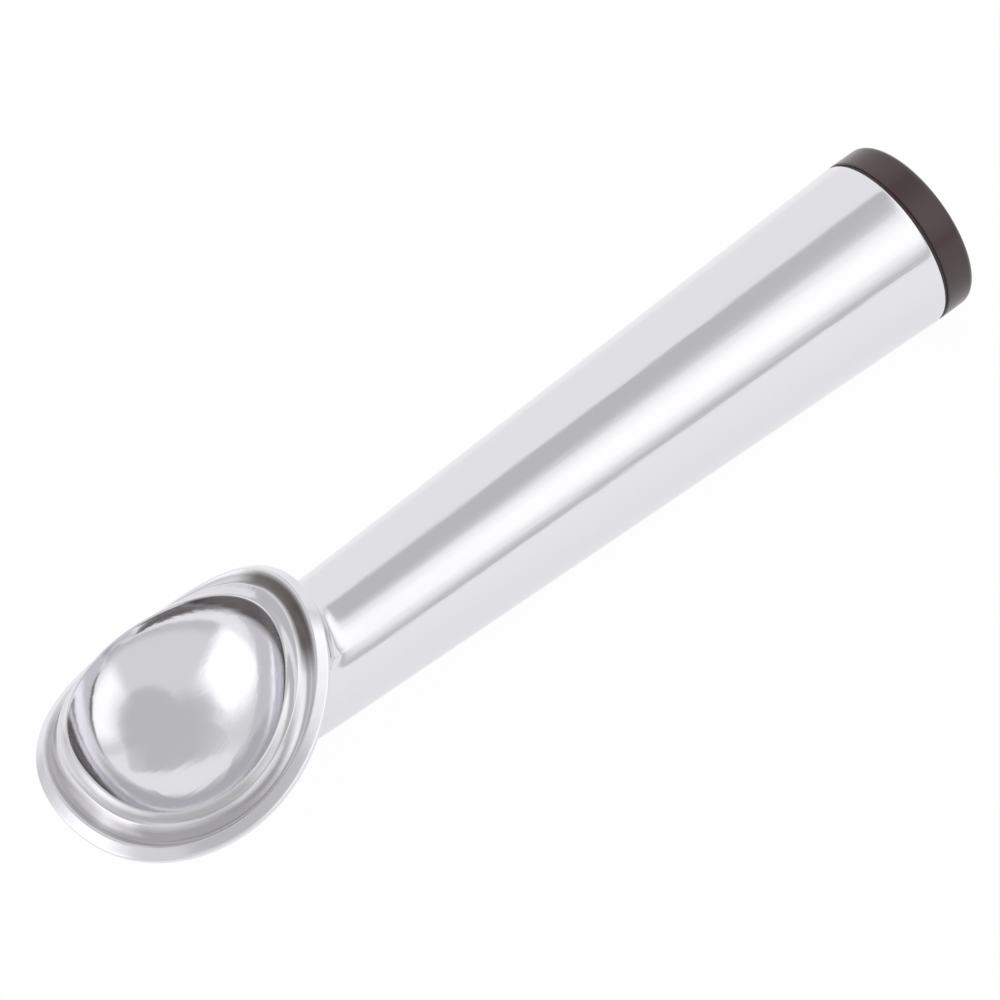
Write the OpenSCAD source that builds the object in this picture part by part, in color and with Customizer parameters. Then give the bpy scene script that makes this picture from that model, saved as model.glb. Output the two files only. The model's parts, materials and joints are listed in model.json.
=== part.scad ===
// One-piece ice cream scoop with a hollow handle that holds a heat-conducting liquid.
// It is drawn with X along the handle towards the cap, Z up out of the bowl and the origin at
// the seam between handle and cap, and is then laid down on its bowl and on the edge of its cap.

/* [Handle] */
// Diameter of the handle at the cap
handle_d = 32; // [30:0.5:36]
// Half angle of the taper towards the bowl, in degrees
handle_taper = 2.16; // [1.8:0.02:2.4]
// Wall of the handle round the hollow
handle_wall = 4.3; // [3.6:0.1:4.8]
// Bevel on the outer edge of the handle's mouth
mouth_bevel = 0.3; // [0.1:0.1:0.6]

/* [Hollow] */
// Depth of the hollow, from the seam to its blind end
chamber_l = 106; // [90:1:109]
// Length of the bevelled blind end
chamber_nose = 6; // [4:0.5:9]
// Radius taken off at the blind end
chamber_nose_r = 3; // [2:0.25:4]
// Height of the liquid's surface over the handle's axis, half way along the hollow
fill_level = 5; // [2:0.5:7]
// Gap between the liquid and the walls
fluid_gap = 0.1; // [0.05:0.05:0.3]

/* [Bowl] */
// Distance from the seam to the middle of the bowl
bowl_reach = 145.5; // [143:0.5:149]
// Reach of the lip from the middle towards the handle
lip_handle_r = 18.1; // [17:0.1:19]
// Reach of the lip from the middle to each side
lip_side_r = 20.9; // [20:0.1:22.5]
// Reach of the lip from the middle to the tip
lip_tip_r = 18.3; // [17.5:0.1:20]
// Fullness of the lip's shoulders towards the tip
lip_shoulder = 0.72; // [0.4:0.02:1]
// Height of the lip over the handle's axis, at the handle
lip_handle_z = 15.9; // [14.5:0.1:17]
// Height of the lip over the handle's axis, at the sides
lip_side_z = 9.4; // [8.5:0.1:10.5]
// Height of the lip over the handle's axis, at the tip
lip_tip_z = 7.1; // [6:0.1:8.5]
// How far the bowl's bottom lies under the line of the handle
bottom_drop = 0.7; // [0.3:0.1:1.2]
// Thickness of the floor
floor_t = 6.5; // [5:0.1:8]
// Thickness of the wall under the rim
wall_t = 2.5; // [2:0.1:3.2]
// Arc of the section of the bowl's back, from its bottom to its lip, in degrees
bowl_arc = 80; // [65:1:86]
// Arc of the section of the bowl's inside, from its floor to its lip, in degrees
dish_arc = 60; // [52:1:68]
// Share of the lip's slope that the inside keeps at its floor
dish_slope = 0.4; // [0.2:0.05:0.7]
// How far the inside's pole lies ahead of the bowl's middle
dish_forward = 3.8; // [2:0.1:4.5]
// Bevel on the inner edge of the lip
lip_bevel = 0.6; // [0.3:0.1:0.9]

/* [Rim] */
// Width of the rim from lip to ridge, at the handle
rim_handle_w = 5.5; // [5:0.1:6.5]
// Width of the rim from lip to ridge, at the sides
rim_side_w = 3; // [2.6:0.1:4]
// Width of the rim from lip to ridge, at the tip
rim_tip_w = 5.6; // [5:0.1:6.5]
// Extra width of the rim half way round each quarter
rim_quarter_w = 0.6; // [0.2:0.1:1]
// Rise of the ridge over the lip, at the handle
ridge_handle_rise = 1.7; // [1:0.1:2.2]
// Drop of the ridge under the lip, at the sides
ridge_side_drop = 4; // [3:0.1:4.6]
// Drop of the ridge under the lip, at the tip
ridge_tip_drop = 3; // [2:0.1:3.6]
// How much sooner the ridge falls away from the handle
ridge_shoulder = 0.58; // [0.3:0.02:0.8]
// Share of the rim's width that the inner hollow takes
step_share = 0.42; // [0.35:0.01:0.5]
// Depth of the hollow inside the step
inner_hollow = 0.3; // [0.1:0.05:0.5]
// Depth of the hollow between the step and the ridge
outer_hollow = 0.8; // [0.4:0.05:1]
// Width of the sloping band outside the ridge
band_w = 1.7; // [1.2:0.1:2.2]
// Fall of the sloping band
band_h = 1.1; // [0.8:0.1:1.6]
// Height of the rim's outer edge
edge_h = 0.9; // [0.5:0.1:1.4]
// Height of the hollow underside that runs in to the wall
under_h = 2.4; // [1.8:0.1:3]

/* [Neck] */
// Length of the flare on top, from the handle to the rim's outer edge
flare_top_l = 3.2; // [2:0.1:5]
// Length of the flare underneath, from the handle to the bowl's middle
flare_under_l = 15.5; // [13:0.5:18]
// Height that the flare gains at the sides
flare_side_h = 2.6; // [2:0.1:3.2]
// How far the flare starts under the handle's surface
flare_sink = 0.25; // [0.15:0.05:0.4]
// How far the handle's core runs into the bowl's floor, measured from the bowl's middle
core_stop = 4.5; // [3.5:0.5:6]

/* [Cap] */
// Length of the cap outside the handle
cap_l = 6.4; // [5.4:0.1:9]
// Rounding of the cap's end
cap_round = 1.2; // [0.8:0.1:1.8]
// Width of the shadow groove at the seam
seam_w = 0.5; // [0.3:0.1:0.8]
// Depth of the shadow groove at the seam
seam_h = 0.6; // [0.3:0.1:0.9]
// Radius of the handle's mouth, where the spigot goes
mouth_r = 13; // [12.7:0.1:13.4]
// Depth of the handle's mouth
mouth_l = 7; // [6:0.5:9]
// Length of the spigot inside the mouth
spigot_l = 6.4; // [4:0.2:6.6]
// Wall of the spigot
spigot_wall = 2; // [1.4:0.1:2.6]
// Depth of the hollow in the cap, outside the seam
cap_hollow = 2.4; // [1:0.1:3]
// Gap round the spigot
spigot_gap = 0.05; // [0.02:0.01:0.1]

/* [Plug] */
// Radius of the plug's seat in the handle
seat_r = 12.2; // [11.8:0.1:12.4]
// Length of the plug's seat
seat_l = 12; // [11:0.5:14]
// Length of the plug
plug_l = 10; // [8.5:0.5:11]
// Gap round the plug
plug_gap = 0.05; // [0.02:0.01:0.1]
// Depth of the dished outer face
plug_dish = 4; // [2:0.5:4.5]
// Wall of the plug round the dish
plug_wall = 4; // [3.4:0.2:5]
// Distance from the plug's inner end to the middle of the seal
seal_at = 3.4; // [2.8:0.2:4]
// Thickness of the seal, as squeezed in its groove
seal_t = 2.1; // [1.6:0.1:2.4]
// Gap round the seal in its groove
seal_gap = 0.05; // [0.02:0.01:0.1]

/* [Hidden] */
$fn = 96;

// Counts of points round the bowl, round the flare and along each curve
bowl_sides = 64;
flare_sides = 48;
wall_steps = 9;
rim_steps = 7;
flare_steps = 7;
aim_tries = 20;
// Where the rim's hollow underside turns, as a share of its width
under_turn = 0.3;

handle_r = handle_d / 2;
bowl_x = -bowl_reach;
core_end = bowl_x + core_stop;
seat_end = -mouth_l - seat_l;
metal_grey = [0.80, 0.80, 0.82];
cap_brown = [0.28, 0.25, 0.26];
liquid_tint = [0.55, 0.78, 0.62];
plug_grey = [0.62, 0.63, 0.65];
seal_black = [0.10, 0.10, 0.10];

// Radius of the handle's outside at a place along its axis
function handle_at(x) = handle_r + x * tan(handle_taper);

// Levels of the bowl's bottom, outside and inside
bottom_z = -handle_at(core_end) - bottom_drop;
floor_z = bottom_z + floor_t;

// A smooth closed wave through its values at the handle (0), the sides (90) and the tip (180)
function wave(at_0, at_90, at_180, shoulder, quarter, a) =
    (at_0 + 2 * at_90 + at_180) / 4
    + (at_0 - at_180) / 2 * cos(a)
    + (at_0 - 2 * at_90 + at_180) / 4 * cos(2 * a)
    + shoulder * (cos(3 * a) - cos(a))
    + quarter * (1 - cos(4 * a)) / 2;

function mix(a, b, t) = a + (b - a) * t;

// Curves of the rim round the bowl: radius from the bowl's middle, height over the axis
function lip_r(a) = wave(lip_handle_r, lip_side_r, lip_tip_r, lip_shoulder, 0, a);
function lip_z(a) = wave(lip_handle_z, lip_side_z, lip_tip_z, 0, 0, a);
function lip_mean_r(a) = (lip_r(a) + lip_r(180 - a)) / 2;
function lip_mean_z(a) = (lip_z(a) + lip_z(180 - a)) / 2;
function ridge_r(a) = lip_r(a) + wave(rim_handle_w, rim_side_w, rim_tip_w, 0, rim_quarter_w, a);
function ridge_rise(a) =
    wave(ridge_handle_rise, -ridge_side_drop, -ridge_tip_drop, ridge_shoulder, 0, a);
function ridge_z(a) = lip_z(a) + ridge_rise(a);
function edge_r(a) = ridge_r(a) + band_w;
function edge_z(a) = ridge_z(a) - band_h;
function wall_z(a) = edge_z(a) - edge_h - under_h;

// Section of the bowl: an arc from the pole, t = 0, to the lip, t = 1
function arc_r(arc, t) = sin(arc * t) / sin(arc);
function arc_z(arc, t) = (1 - cos(arc * t)) / (1 - cos(arc));
function arc_at(arc, height) = acos(1 - height * (1 - cos(arc))) / arc;

// The bowl's back, which stops under the rim: its end on the arc, and its radius at a height
function wall_end(a) = arc_at(bowl_arc, (wall_z(a) - bottom_z) / (lip_z(a) - bottom_z));
function wall_r(a, t) = (lip_r(a) + wall_t) * arc_r(bowl_arc, t);
function back_r(a, z) = z > wall_z(a)
    ? mix(wall_r(a, wall_end(a)), edge_r(a), min(1, (z - wall_z(a)) / under_h))
    : wall_r(a, arc_at(bowl_arc, max(0, z - bottom_z) / (lip_z(a) - bottom_z)));

// Where a line beside the handle's axis meets the bowl's back, closed in on by repeated aim
function back_x(y, z, a, tries) =
    let (reach = sqrt(max(0, pow(back_r(a, z), 2) - y * y)))
    tries == 0 ? bowl_x + reach : back_x(y, z, atan2(y, reach), tries - 1);

// Depth of the two hollows of the stepped rim, at a share u of the way from lip to ridge
function hollow(u) = u < step_share
    ? inner_hollow * sin(180 * u / step_share)
    : outer_hollow * sin(180 * (u - step_share) / (1 - step_share));

// A point of the bowl, from its angle, radius and height
function bowl_point(a, r, z) = [bowl_x + r * cos(a), r * sin(a), z];
// A ring of such points, which can lie ahead of the bowl's middle
function bowl_ring(radii, heights, forward = 0) =
    [for (i = [0 : bowl_sides - 1])
        bowl_point(360 * i / bowl_sides, radii[i], heights[i]) - [forward, 0, 0]];
function around() = [for (i = [0 : bowl_sides - 1]) 360 * i / bowl_sides];

// One ring of the bowl's back and one of its inside, at a share of the way up from the pole
function back_ring(share) =
    bowl_ring([for (a = around()) wall_r(a, share * wall_end(a))],
              [for (a = around()) mix(bottom_z, lip_z(a), arc_z(bowl_arc, share * wall_end(a)))]);
function inside_z(a, t, reach) =
    mix(floor_z, lip_mean_z(a) - lip_bevel, arc_z(dish_arc, t))
    + (lip_z(a) - lip_mean_z(a)) * mix(pow(reach, 3), reach, dish_slope);
function inside_ring(t) = let (reach = arc_r(dish_arc, t))
    bowl_ring([for (a = around()) mix(lip_mean_r(a), lip_r(a), t) * reach],
              [for (a = around()) inside_z(a, t, reach)],
              dish_forward * (1 - pow(reach, 2)));

// Skin over stacked rings of n points, closed by a pole at each end
function skin_faces(rows, n) = concat(
    [for (j = [0 : n - 1]) [0, 1 + j, 1 + (j + 1) % n]],
    [for (i = [0 : rows - 2], j = [0 : n - 1]) [1 + i * n + j, 1 + (i + 1) * n + j,
        1 + (i + 1) * n + (j + 1) % n]],
    [for (i = [0 : rows - 2], j = [0 : n - 1]) [1 + i * n + j, 1 + (i + 1) * n + (j + 1) % n,
        1 + i * n + (j + 1) % n]],
    [for (j = [0 : n - 1]) [1 + (rows - 1) * n + j, 1 + rows * n, 1 + (rows - 1) * n + (j + 1) % n]]);

module skinned(first, rings, last) {
    points = concat([first], [for (ring = rings) each ring], [last]);
    polyhedron(points = points, faces = skin_faces(len(rings), len(rings[0])));
}

// The lying pose: the pitch that brings the bowl's bottom and the handle's mouth to one level
mouth_edge = [-mouth_bevel, 0, -handle_at(-mouth_bevel)];
rest_pitch = atan((mouth_edge[2] - bottom_z) / (mouth_edge[0] - bowl_x));
cap_edge_x = cap_l - cap_round;
function laid_x(p) = p[0] * cos(rest_pitch) + p[2] * sin(rest_pitch);
function laid_z(p) = -p[0] * sin(rest_pitch) + p[2] * cos(rest_pitch);
edge_points = [for (a = around()) bowl_point(a, edge_r(a), edge_z(a))];
tip_x = min([for (p = edge_points) laid_x(p)]);
cap_end_x = laid_x([cap_edge_x, 0, -handle_r + cap_round]) + cap_round;
rest_z = laid_z(mouth_edge);
middle_x = (tip_x + cap_end_x) / 2;

module as_it_lies() {
    translate([-middle_x, 0, -rest_z]) rotate([0, rest_pitch, 0]) children();
}

// A solid of revolution round the handle's axis, from points [radius, place along the axis]
module turned(points) {
    rotate([0, 90, 0]) rotate_extrude() polygon(points);
}

// The bowl without its inside: rounded wall, hollow underside, edge, band, ridge, step and lip
module bowl_outside() {
    turn = around();
    wall_rings = [for (i = [1 : wall_steps]) back_ring(i / wall_steps)];
    under_ring = bowl_ring([for (a = turn) mix(wall_r(a, wall_end(a)), edge_r(a), under_turn)],
                           [for (a = turn) wall_z(a) + under_h * (1 - under_turn)]);
    lower_edge = bowl_ring([for (a = turn) edge_r(a) - edge_h / 3],
                           [for (a = turn) edge_z(a) - edge_h]);
    upper_edge = bowl_ring([for (a = turn) edge_r(a)], [for (a = turn) edge_z(a)]);
    rim_rings = [for (i = [0 : rim_steps]) let (u = 1 - i / rim_steps)
        bowl_ring([for (a = turn) mix(lip_r(a), ridge_r(a), u)],
                  [for (a = turn) mix(lip_z(a), ridge_z(a), u) - hollow(u)])];
    inner_ring = bowl_ring([for (a = turn) lip_r(a) - wall_t / 2], [for (a = turn) lip_z(a)]);
    rings = concat(wall_rings, [under_ring, lower_edge, upper_edge], rim_rings, [inner_ring]);
    skinned([bowl_x, 0, bottom_z], rings, [bowl_x, 0, lip_side_z]);
}

// The room inside the bowl, opened out at the lip by its bevel
module bowl_inside() {
    turn = around();
    rings = [for (i = [1 : wall_steps]) inside_ring(i / wall_steps)];
    bevel_ring = bowl_ring([for (a = turn) lip_r(a) + lip_bevel],
                           [for (a = turn) lip_z(a) + lip_bevel]);
    open_ring = bowl_ring([for (a = turn) lip_r(a) + lip_bevel],
                          [for (a = turn) lip_handle_z + handle_r]);
    skinned([bowl_x - dish_forward, 0, floor_z], concat(rings, [bevel_ring, open_ring]),
            [bowl_x, 0, lip_handle_z + handle_r]);
}

// The flare that fills the corner between the handle and the back of the bowl. It runs from a
// sloping ring on the handle out to the rim's edge on top and to the bowl's bottom underneath.
flare_top_x = bowl_x + edge_r(0) + flare_top_l;
flare_under_x = bowl_x + flare_under_l;
flare_side_x = (flare_top_x + flare_under_x) / 2;
function flare_start(psi) = mix(flare_top_x, flare_under_x, (1 - cos(psi)) / 2);
function flare_end_r(psi) =
    wave(edge_z(0) - edge_h / 2, handle_at(flare_side_x) + flare_side_h, -bottom_z, 0, 0, psi);
function flare_end(psi) = let (r = flare_end_r(psi))
    back_x(r * sin(psi), r * cos(psi), psi / 2, aim_tries) - flare_sink;
function flare_point(psi, t) =
    let (x = mix(flare_start(psi), flare_end(psi), sin(90 * t)))
    let (r = mix(handle_at(flare_start(psi)) - flare_sink, flare_end_r(psi), 1 - cos(90 * t)))
    [x, r * sin(psi), r * cos(psi)];
function flare_turn() = [for (j = [0 : flare_sides - 1]) 360 * j / flare_sides];

module neck_flare() {
    rings = [for (i = [0 : flare_steps])
        [for (psi = flare_turn()) flare_point(psi, i / flare_steps)]];
    skinned([flare_top_x + flare_top_l, 0, 0], rings, [bowl_x, 0, lip_side_z]);
}

module handle_outside() {
    turned([[0, core_end], [handle_at(core_end), core_end], [handle_at(-mouth_bevel), -mouth_bevel],
            [handle_r - mouth_bevel, 0], [0, 0]]);
}

// Outline of the liquid's chamber, drawn in by a gap
function chamber_r(x) = handle_at(x) - handle_wall;
function chamber_outline(gap) = [
    [0, seat_end - gap],
    [chamber_r(seat_end) - gap, seat_end - gap],
    [chamber_r(chamber_nose - chamber_l) - gap, chamber_nose - chamber_l],
    [chamber_r(chamber_nose - chamber_l) - chamber_nose_r - gap, gap - chamber_l],
    [0, gap - chamber_l]];

module handle_hollow() {
    past = mouth_bevel;
    turned(chamber_outline(0));
    turned([[0, seat_end], [seat_r, seat_end], [seat_r, -mouth_l], [0, -mouth_l]]);
    turned([[0, -mouth_l], [mouth_r, -mouth_l], [mouth_r, past], [0, past]]);
}

module scoop_casting() {
    color(metal_grey) as_it_lies() difference() {
        union() {
            handle_outside();
            bowl_outside();
            neck_flare();
        }
        bowl_inside();
        handle_hollow();
    }
}

// The liquid lies level in the hollow, with a little air left over it
module heat_fluid() {
    middle = (seat_end - chamber_l) / 2;
    level = laid_z([middle, 0, fill_level]) - rest_z;
    room = chamber_l + handle_d;
    color(liquid_tint) intersection() {
        as_it_lies() turned(chamber_outline(fluid_gap));
        translate([-room, -room, level - room]) cube([2 * room, 2 * room, room]);
    }
}

// Bung pressed against the shoulder of its seat, dished on the outside, grooved for the seal
module closure_plug() {
    r = seat_r - plug_gap;
    far = seat_end + plug_l;
    groove_r = seat_r - seal_t - 2 * seal_gap;
    groove_half = seal_t / 2 + seal_gap;
    groove_x = seat_end + seal_at;
    color(plug_grey) as_it_lies() turned([
        [0, seat_end], [r, seat_end],
        [r, groove_x - groove_half], [groove_r, groove_x - groove_half],
        [groove_r, groove_x + groove_half], [r, groove_x + groove_half],
        [r, far], [r - plug_wall, far], [r - plug_wall, far - plug_dish], [0, far - plug_dish]]);
}

module plug_seal() {
    color(seal_black) as_it_lies() rotate([0, 90, 0])
        translate([0, 0, seat_end + seal_at]) rotate_extrude()
            translate([seat_r - seal_gap - seal_t / 2, 0]) circle(d = seal_t);
}

// Moulded cap with a rounded end, a shadow groove at the seam and a hollow spigot in the mouth
module end_cap() {
    spigot_r = mouth_r - spigot_gap;
    color(cap_brown) as_it_lies() rotate([0, 90, 0]) rotate_extrude() difference() {
        union() {
            translate([0, -spigot_l]) square([spigot_r, spigot_l + cap_l]);
            square([handle_r - seam_h, cap_l - cap_round]);
            translate([0, seam_w]) square([handle_r, cap_l - cap_round - seam_w]);
            translate([0, seam_w]) square([handle_r - cap_round, cap_l - seam_w]);
            translate([handle_r - cap_round, cap_l - cap_round]) circle(r = cap_round);
        }
        translate([0, -spigot_l]) square([spigot_r - spigot_wall, spigot_l + cap_hollow]);
    }
}

scoop_casting();
heat_fluid();
closure_plug();
plug_seal();
end_cap();
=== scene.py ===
import json
import math

import bmesh
import bpy
from mathutils import Matrix, Vector


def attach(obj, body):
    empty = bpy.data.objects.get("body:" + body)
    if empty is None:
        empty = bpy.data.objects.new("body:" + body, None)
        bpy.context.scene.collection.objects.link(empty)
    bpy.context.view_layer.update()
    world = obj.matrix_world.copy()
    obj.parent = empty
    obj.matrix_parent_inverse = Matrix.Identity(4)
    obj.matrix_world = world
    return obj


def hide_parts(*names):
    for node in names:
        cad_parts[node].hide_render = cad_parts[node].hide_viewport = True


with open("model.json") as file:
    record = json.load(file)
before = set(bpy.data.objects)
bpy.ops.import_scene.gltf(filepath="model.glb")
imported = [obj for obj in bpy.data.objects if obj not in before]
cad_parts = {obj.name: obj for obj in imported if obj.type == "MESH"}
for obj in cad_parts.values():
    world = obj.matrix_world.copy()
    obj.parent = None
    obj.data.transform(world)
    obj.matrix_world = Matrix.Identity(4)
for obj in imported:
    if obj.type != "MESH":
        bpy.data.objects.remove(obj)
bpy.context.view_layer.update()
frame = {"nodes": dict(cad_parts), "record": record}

# Sizes are in millimetres, round the handle's axis: X towards the cap, Z up out of the bowl, and
# the origin at the seam between handle and cap. A finished piece is laid down in metres.
MM = 0.001

# Handle, its hollow and its mouth
HANDLE_R = 16.0
HANDLE_TAPER = math.tan(math.radians(2.16))
HANDLE_WALL = 4.3
HANDLE_RINGS = 16
MOUTH_BEVEL = 0.3
MOUTH_BEVEL_START = 0.25
MOUTH_R = 13.0
MOUTH_L = 7.0
SEAT_R = 12.2
SEAT_L = 12.0
HOLLOW_L = 106.0
HOLLOW_NOSE = 6.0
HOLLOW_NOSE_R = 3.0

# Bowl, with its lip's reach and height at the handle, at the sides and at the tip
BOWL_X = -145.5
LIP_R = (18.1, 20.9, 18.3)
LIP_Z = (15.9, 9.4, 7.1)
LIP_SHOULDER = 0.72
BOWL_SPOKES = 128
BOWL_ARC = math.radians(80)
DISH_ARC = math.radians(80)
DISH_TIP = 0.4
DISH_FORWARD = 3.8
CORE_STOP = 4.5
BOTTOM_DROP = 0.7
FLOOR_T = 8.0
WALL_T = 2.5
LIP_ROUND = 0.6
LIP_CORNER_OUT = 0.12
LIP_CORNER_DOWN = 0.18

# Rim, from the lip out to the ridge and the sloping band outside it, with its width and the ridge's
# rise over the lip at the handle, at the sides and at the tip
RIM_W = (5.5, 3.0, 5.6)
RIM_QUARTER_W = 0.6
RIDGE_RISE = (1.7, -4.0, -3.0)
RIDGE_SHOULDER = 0.58
STEP_SHARE = 0.42
INNER_HOLLOW = 0.3
OUTER_HOLLOW = 0.8
BAND_W = 1.7
BAND_H = 1.1
EDGE_H = 0.9
EDGE_TOP_DOWN = 0.135
EDGE_MIDDLE_IN = 0.045
EDGE_MIDDLE_DOWN = 0.54
EDGE_FOOT_IN = 0.3
UNDER_H = 2.4

# Neck, where the handle flares into the back of the bowl
FLARE_TOP_L = 3.2
FLARE_UNDER_L = 15.5
NECK_SPOKES = 14
NECK_RINGS = 10
NECK_PULL = 0.55
NECK_RUN_ON = 0.9
# Share of the way to an even spread that the neck's lines make, and of the handle for the rest
NECK_SPREAD = 0.5
HANDLE_SPREAD = 0.35

# Cap
CAP_L = 6.4
CAP_ROUND = 1.2
SEAM_W = 0.5
SEAM_H = 0.6
SPIGOT_L = 6.4
SPIGOT_R = 12.95
SPIGOT_WALL = 2.0
CAP_HOLLOW = 2.4
CAP_SPOKES = 96
CAP_ROUND_STEPS = 6
CAP_SHOULDER_X = 0.02
CAP_EDGE_ROUND = 0.1
CAP_EDGE_END = 0.4
CAP_SIDE_END = 0.2
CAP_FACE_START = 0.3
CAP_BORE_MIDDLE_R = 1.0


def mix(low, high, share):
    return low + (high - low) * share


def handle_at(x):
    """Radius of the handle's outside at a place along its axis."""
    return HANDLE_R + x * HANDLE_TAPER


BOTTOM_Z = -handle_at(BOWL_X + CORE_STOP) - BOTTOM_DROP
FLOOR_Z = BOTTOM_Z + FLOOR_T


def wave(at_handle, at_side, at_tip, shoulder, quarter, turn, odd=1.0):
    """A smooth closed curve round the bowl, through its values at handle, sides and tip.
    Its uneven part, which differs between handle and tip, can be faded out by odd."""
    even_part = (
        (at_handle + 2 * at_side + at_tip) / 4
        + (at_handle - 2 * at_side + at_tip) / 4 * math.cos(2 * turn)
        + quarter * (1 - math.cos(4 * turn)) / 2
    )
    odd_part = (
        (at_handle - at_tip) / 2 * math.cos(turn)
        + shoulder * (math.cos(3 * turn) - math.cos(turn))
    )
    return even_part + odd * odd_part


def lip_r(turn, odd=1.0):
    return wave(*LIP_R, LIP_SHOULDER, 0.0, turn, odd)


def lip_z(turn, odd=1.0):
    return wave(*LIP_Z, 0.0, 0.0, turn, odd)


def ridge_r(turn):
    return lip_r(turn) + wave(*RIM_W, 0.0, RIM_QUARTER_W, turn)


def ridge_z(turn):
    return lip_z(turn) + wave(*RIDGE_RISE, RIDGE_SHOULDER, 0.0, turn)


def edge_r(turn):
    return ridge_r(turn) + BAND_W


def edge_z(turn):
    return ridge_z(turn) - BAND_H


def wall_top_z(turn):
    return edge_z(turn) - EDGE_H - UNDER_H


# The bowl's section is an arc from the pole, rise = 0, to the lip, rise = 1
def arc_r(arc, rise):
    return math.sin(arc * rise) / math.sin(arc)


def arc_z(arc, rise):
    return (1 - math.cos(arc * rise)) / (1 - math.cos(arc))


def arc_rise(arc, height):
    return math.acos(1 - height * (1 - math.cos(arc))) / arc


def inside_at(turn, rise):
    """Radius and height of the bowl's inside, a dish that is tipped and deepest towards its front."""
    share = arc_r(DISH_ARC, rise)
    level_top = lip_z(turn, 0.0) - LIP_ROUND
    tip = (lip_z(turn) - lip_z(turn, 0.0)) * mix(share ** 3, share, DISH_TIP)
    height = mix(FLOOR_Z, level_top, arc_z(DISH_ARC, rise)) + tip
    return lip_r(turn, rise) * share, height, -DISH_FORWARD * (1 - share * share)


def back_at(turn, rise):
    """Radius and height of the bowl's back."""
    radius = (lip_r(turn, rise) + WALL_T) * arc_r(BOWL_ARC, rise)
    return radius, mix(BOTTOM_Z, lip_z(turn, rise), arc_z(BOWL_ARC, rise))


def back_end(turn):
    """Rise at which the back of the bowl ends, under the rim."""
    return arc_rise(BOWL_ARC, (wall_top_z(turn) - BOTTOM_Z) / (lip_z(turn) - BOTTOM_Z))


def rim_at(turn, share):
    """Radius and height of the stepped rim, from the lip, share = 0, to the ridge, share = 1."""
    if share < STEP_SHARE:
        hollow = INNER_HOLLOW * math.sin(math.pi * share / STEP_SHARE)
    else:
        hollow = OUTER_HOLLOW * math.sin(math.pi * (share - STEP_SHARE) / (1 - STEP_SHARE))
    radius = mix(lip_r(turn), ridge_r(turn), share)
    return radius, mix(lip_z(turn), ridge_z(turn), share) - hollow


def band_at(turn, out):
    """Radius and height of the sloping band, a distance outside the ridge."""
    return ridge_r(turn) + out, ridge_z(turn) - out * BAND_H / BAND_W


def under_at(turn, share):
    """Radius and height of the hollow underside, from the rim's edge in to the wall."""
    wall_radius, wall_height = back_at(turn, back_end(turn))
    quarter = share * math.pi / 2
    radius = mix(edge_r(turn) - EDGE_FOOT_IN, wall_radius, math.sin(quarter))
    height = mix(edge_z(turn) - EDGE_H, wall_height, 1 - math.cos(quarter))
    return radius, height


# Laying down: the cap's end face, as the record gives it, fixes the axis and the seam
cap_end = frame["record"]["mounts"][0]
axis_x = Vector(cap_end["axis"]).normalized()
axis_y = Vector((0, 1, 0))
axis_z = axis_x.cross(axis_y)
seam = Vector(cap_end["pos_m"]) - axis_x * CAP_L * MM
LAY_DOWN = Matrix.Translation(seam) @ Matrix((axis_x, axis_y, axis_z)).transposed().to_4x4()


def pick_piece(piece):
    bpy.ops.object.select_all(action="DESELECT")
    piece.select_set(True)
    bpy.context.view_layer.objects.active = piece


def start_ring(name, spokes):
    """A plain open ring of points in edit mode, each marked with its spoke."""
    bpy.ops.object.select_all(action="DESELECT")
    bpy.ops.mesh.primitive_circle_add(vertices=spokes, radius=1, fill_type="NOTHING")
    piece = bpy.context.active_object
    piece.name = name
    piece.data.name = name
    bpy.ops.object.mode_set(mode="EDIT")
    shape = bmesh.from_edit_mesh(piece.data)
    spoke_mark = shape.verts.layers.int.new("spoke")
    shape.verts.layers.int.new("ring")
    shape.verts.ensure_lookup_table()
    for number in range(spokes):
        shape.verts[number][spoke_mark] = number
    bmesh.update_edit_mesh(piece.data)
    return piece


def set_ring(piece, ring, place):
    """Moves the picked ring's points to the places that place(spoke) gives, and numbers the ring."""
    shape = bmesh.from_edit_mesh(piece.data)
    spoke_mark = shape.verts.layers.int["spoke"]
    ring_mark = shape.verts.layers.int["ring"]
    for point in shape.verts:
        if point.select:
            point.co = place(point[spoke_mark])
            point[ring_mark] = ring
    bmesh.update_edit_mesh(piece.data)


def next_ring(piece, ring, place):
    """Extrudes the picked ring once more and sets the new one in its place."""
    bpy.ops.mesh.extrude_edges_move()
    set_ring(piece, ring, place)


def sharpen_ring(piece):
    """Keeps the picked ring's corner sharp under the subdivision."""
    bpy.ops.transform.edge_crease(value=1)


def spoke_turn(spoke):
    return 2 * math.pi * spoke / BOWL_SPOKES


def bowl_place(section):
    """Turns a section, turn -> (radius, height, shift), into the place of each spoke's point."""
    def place(spoke):
        turn = spoke_turn(spoke)
        radius, height, *shift = section(turn)
        middle = BOWL_X + sum(shift)
        return Vector((middle + radius * math.cos(turn), radius * math.sin(turn), height))
    return place


def settle_patch(points, surface):
    """Lays the points of a patch round a pole on its curved surface."""
    for point in points:
        shift = 0.0
        for _ in range(SETTLE_ROUNDS):
            along = point.co.x - BOWL_X - shift
            turn = math.atan2(point.co.y, along)
            reach = math.hypot(point.co.y, along)
            low, high = 0.0, 1.0
            for _ in range(SETTLE_HALVES):
                middle = (low + high) / 2
                if surface(turn, middle)[0] < reach:
                    low = middle
                else:
                    high = middle
            shift = sum(surface(turn, low)[2:])
        point.co.z = surface(turn, low)[1]


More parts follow.
